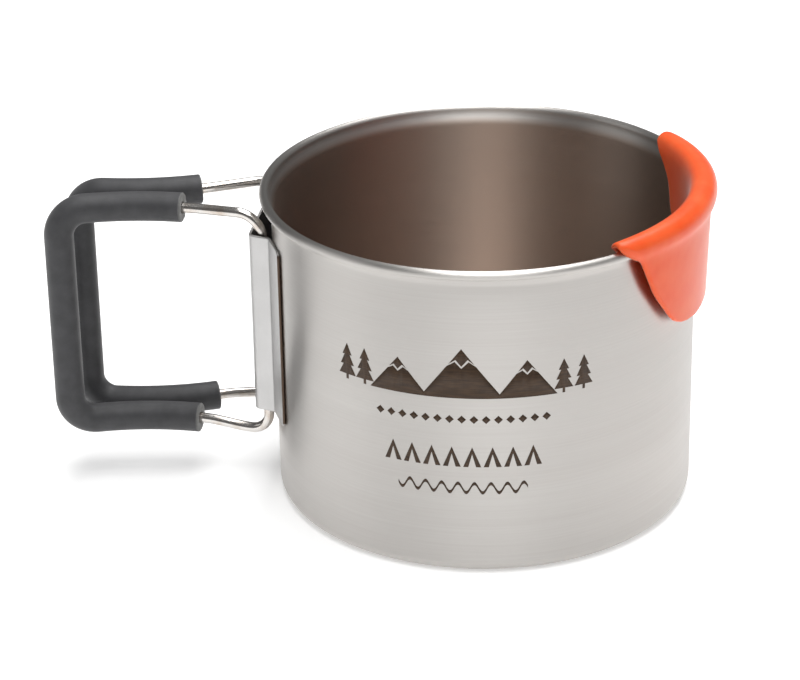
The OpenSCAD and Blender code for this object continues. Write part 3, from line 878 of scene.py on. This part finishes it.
def make_guard(material):
    """The guard as one skin: lines of its section, fanned out to the skirt's and leg's outlines,
    and closed with rounded edges all round."""
    columns = 121
    # Columns crowd toward the two ends, where the edge is rounded.
    spread = [math.sin(math.pi / 2 * t) * 0.35 + t * 0.65 for t in np.linspace(-1, 1, columns)]
    rows = SKIRT_ROWS + LIP_ROWS + LEG_ROWS - 2
    middle_a, middle_b = guard_lines(0)
    half_span = []
    for i in range(rows):
        z = (middle_a[i][1] + middle_b[i][1]) / 2
        if i < SKIRT_ROWS:
            half_span.append(skirt_half(z))
        elif i < SKIRT_ROWS + LIP_ROWS - 1:
            t = (i - SKIRT_ROWS) / (LIP_ROWS - 1)
            over = math.sin(math.pi / 2 * min(1, t / 0.5)) ** 1.4
            half_span.append(37.2 + 5.8 * over - 2.4 * smooth_step((t - 0.75) / 0.25))
        else:
            half_span.append(leg_half(z))
    half_span = softened([(0, h) for h in half_span], 3)[:, 1]
    lengths = np.concatenate([[0], np.cumsum(np.linalg.norm(np.diff(middle_a, axis=0), axis=1))])
    skin_a, skin_b = [], []
    for i in range(rows):
        for k, t in enumerate(spread):
            angle = half_span[i] * t
            line_a, line_b = lines_at(round(angle, 2))
            a, b = Vector(line_a[i]), Vector(line_b[i])
            centre = (a + b) / 2
            half_thick = (a - b).length / 2
            end_away = (1 - abs(t)) * math.radians(half_span[i]) * 43.5
            foot_away = min(lengths[i], lengths[-1] - lengths[i])
            if k in (0, columns - 1) or i in (0, rows - 1):
                open_by = 0.0
            else:
                open_by = rounding(end_away, min(0.55, half_thick)) * rounding(foot_away, 0.5)
            turn = math.radians(angle) + GUARD_AT
            for skin, spot in ((skin_a, centre + (a - centre) * open_by),
                               (skin_b, centre + (b - centre) * open_by)):
                skin.append((spot.x * math.cos(turn), spot.x * math.sin(turn), spot.y))
    return add_piece("moulded_lip_guard", skin_a + skin_b, two_skins(rows, columns), material,
                     "guard", "lip_guard")


# ================================================================ etched marks
def flat_mark(outlines):
    """Flat faces in the XZ plane from closed outlines, cut into upright strips 0.8 mm wide."""
    work = bmesh.new()
    for outline in outlines:
        corners = [work.verts.new((x, 0, z)) for x, z in outline]
        work.faces.new(corners)
    reach = max(abs(x) for outline in outlines for x, z in outline)
    steps = math.ceil(reach / 0.8)
    for i in range(-steps, steps + 1):
        parts = list(work.verts) + list(work.edges) + list(work.faces)
        bmesh.ops.bisect_plane(work, geom=parts, plane_co=(i * 0.8 + 0.013, 0, 0),
                               plane_no=(1, 0, 0))
    bmesh.ops.triangulate(work, faces=work.faces)
    for face in work.faces:
        face.normal_update()
        if face.normal.y > 0:
            face.normal_flip()
    work.verts.index_update()
    points = [tuple(v.co) for v in work.verts]
    faces = [tuple(v.index for v in face.verts) for face in work.faces]
    work.free()
    return points, faces


def peak(width, height, cap):
    """A mountain with a zigzag gap under its snow cap: the cap and the slopes below it."""
    half = width / 2
    side = half * cap / height
    gap = 0.45
    top = [(0, height), (-side, height - cap), (-side * 0.45, height - cap * 0.72),
           (0, height - cap * 1.15), (side * 0.5, height - cap * 0.7), (side, height - cap)]
    low_side = half * (cap + gap) / height
    low = [(-low_side, height - cap - gap), (-half, 0), (half, 0), (low_side, height - cap - gap),
           (low_side * 0.5, height - cap * 0.7 - gap), (0, height - cap * 1.15 - gap),
           (-low_side * 0.45, height - cap * 0.72 - gap)]
    return [top, low]


def pine(height):
    """A pine with three tiers and a short trunk, as one outline."""
    wide = height * 0.27
    tiers = [(0, 1.0), (0.55, 0.68), (0.3, 0.68), (0.8, 0.4), (0.45, 0.4), (1.0, 0.13), (0.14, 0.13),
             (0.14, 0.0)]
    right = [(x * wide, z * height) for x, z in tiers]
    return [right + [(-x, z) for x, z in reversed(right[1:])]]


def diamond(size):
    return [[(0, size / 2), (size / 2, 0), (0, -size / 2), (-size / 2, 0)]]


def chevron(width, height, weight):
    return [[(-width / 2, 0), (0, height), (width / 2, 0), (width / 2 - weight, 0),
             (0, height - weight * 1.5), (-width / 2 + weight, 0)]]


def ripple(width, height, weight):
    """One wave of a wavy line, as a band of even weight."""
    steps = np.linspace(-0.5, 0.5, 17)
    top = [(width * t, height * math.sin(2 * math.pi * t) + weight / 2) for t in steps]
    low = [(width * t, height * math.sin(2 * math.pi * t) - weight / 2) for t in reversed(steps)]
    return [top + low]


def make_marks(material):
    """Generic outdoor marks in four rows, in place of any maker's lettering."""
    tree = etched_row_tree()
    rows = [("etched_high_peak", peak(16, 10.4, 3.2), 1, 0, 38.3, 0),
            ("etched_low_peak_left", peak(12, 7.4, 2.2), 1, 0, 38.3, -12.6),
            ("etched_low_peak_right", peak(12, 7.8, 2.3), 1, 0, 38.3, 12.6),
            ("etched_pines_left", pine(7.6), 2, 4.2, 38.3, -22),
            ("etched_pines_right", pine(7.2), 2, 4.2, 38.3, 22),
            ("etched_rule", diamond(1.7), 15, 2.35, 33.8, 0),
            ("etched_chevrons", chevron(3.5, 4.3, 1.0), 8, 3.95, 23.6, 0),
            ("etched_ripples", ripple(3.2, 1.0, 0.7), 8, 3.2, 19, 0)]
    for name, outlines, count, spacing, height, aside in rows:
        points, faces = flat_mark(outlines)
        facing = math.radians(-88.8) + aside / CUP_R
        piece = grown(name, points, [], faces, tree,
                      {"Count": count, "Spacing": spacing * MM, "Height": height * MM,
                       "Facing": facing, "Wall radius": (CUP_R - 0.005) * MM,
                       "Thickness": 0.03 * MM, "Finish": material})
        finish_piece(piece, "cup", None)


# ================================================================ studio
def make_floor():
    """A plain pale floor, much larger than the object."""
    side = 3.0
    mesh = bpy.data.meshes.new("studio_floor")
    mesh.from_pydata([(-side, -side, 0), (side, -side, 0), (side, side, 0), (-side, side, 0)], [],
                     [(0, 1, 2, 3)])
    # The board gives off some light of its own, so it stays white and shadows stay weak.
    material, tree, shader = new_material("matt_white_board", {
        "Base Color": srgb("F6F6F6"), "Specular IOR Level": 0.2,
        "Emission Color": (1, 1, 1, 1), "Emission Strength": 0.36})
    gloss = ranged(tree, noise(tree, object_place(tree), 900.0, 2.0), 0.0, 1.0, 0.75, 0.9)
    tree.links.new(gloss, shader.inputs["Roughness"])
    mesh.materials.append(material)
    floor = bpy.data.objects.new("studio_floor", mesh)
    bpy.context.scene.collection.objects.link(floor)


def make_light(name, place, aim, width, length, watts):
    """A soft rectangular lamp at a place, turned to its aim, in metres."""
    lamp = bpy.data.lights.new(name, "AREA")
    lamp.shape = "RECTANGLE"
    lamp.size = width
    lamp.size_y = length
    lamp.energy = watts
    thing = bpy.data.objects.new(name, lamp)
    thing.location = place
    thing.rotation_euler = (Vector(aim) - Vector(place)).to_track_quat("-Z", "Y").to_euler()
    bpy.context.scene.collection.objects.link(thing)


def make_studio():
    """Dim white light from all round, a long softbox overhead and a small one at the left."""
    world = bpy.data.worlds.new("white_studio")
    world.use_nodes = True
    world.node_tree.nodes["Background"].inputs["Color"].default_value = (1, 1, 1, 1)
    world.node_tree.nodes["Background"].inputs["Strength"].default_value = 0.14
    bpy.context.scene.world = world
    make_light("top_softbox", (0.08, 0.1, 1.0), (0.08, 0.1, 0), 0.55, 1.6, 15.5)
    make_light("left_softbox", (-1.1, -0.3, 0.6), (0, 0, 0.03), 0.7, 0.7, 1)


def make_camera():
    """The camera, above the rim and a little to the right of the cup's middle."""
    heading = math.radians(98.8326)
    dip = 0.443951
    roll = -0.01753
    ahead = Vector((math.cos(heading) * math.cos(dip), math.sin(heading) * math.cos(dip),
                    -math.sin(dip)))
    turn = ahead.to_track_quat("-Z", "Y") @ Quaternion((0, 0, 1), roll)
    data = bpy.data.cameras.new("camera")
    data.lens = 130.456
    data.sensor_width = 36
    data.sensor_fit = "HORIZONTAL"
    camera = bpy.data.objects.new("camera", data)
    camera.matrix_world = Matrix.Translation((0.06531, -0.53195, 0.28561)) @ turn.to_matrix().to_4x4()
    bpy.context.scene.collection.objects.link(camera)
    bpy.context.scene.camera = camera


# ================================================================ the whole thing
make_camera()
make_studio()
make_floor()
bpy.context.scene.view_settings.view_transform = "Standard"

wire_finish = drawn_wire()
sleeve_finish = silicone_tubing()
wire_tree = swept_wire_tree()
sleeve_tree = cut_sleeve_tree()
make_cup(brushed_stainless())
make_bracket(tumbled_sheet())
make_handle("a", REST_A, -1, wire_tree, sleeve_tree, wire_finish, sleeve_finish)
make_handle("b", REST_B, 1, wire_tree, sleeve_tree, wire_finish, sleeve_finish)
make_guard(moulded_silicone())
make_marks(laser_etch())
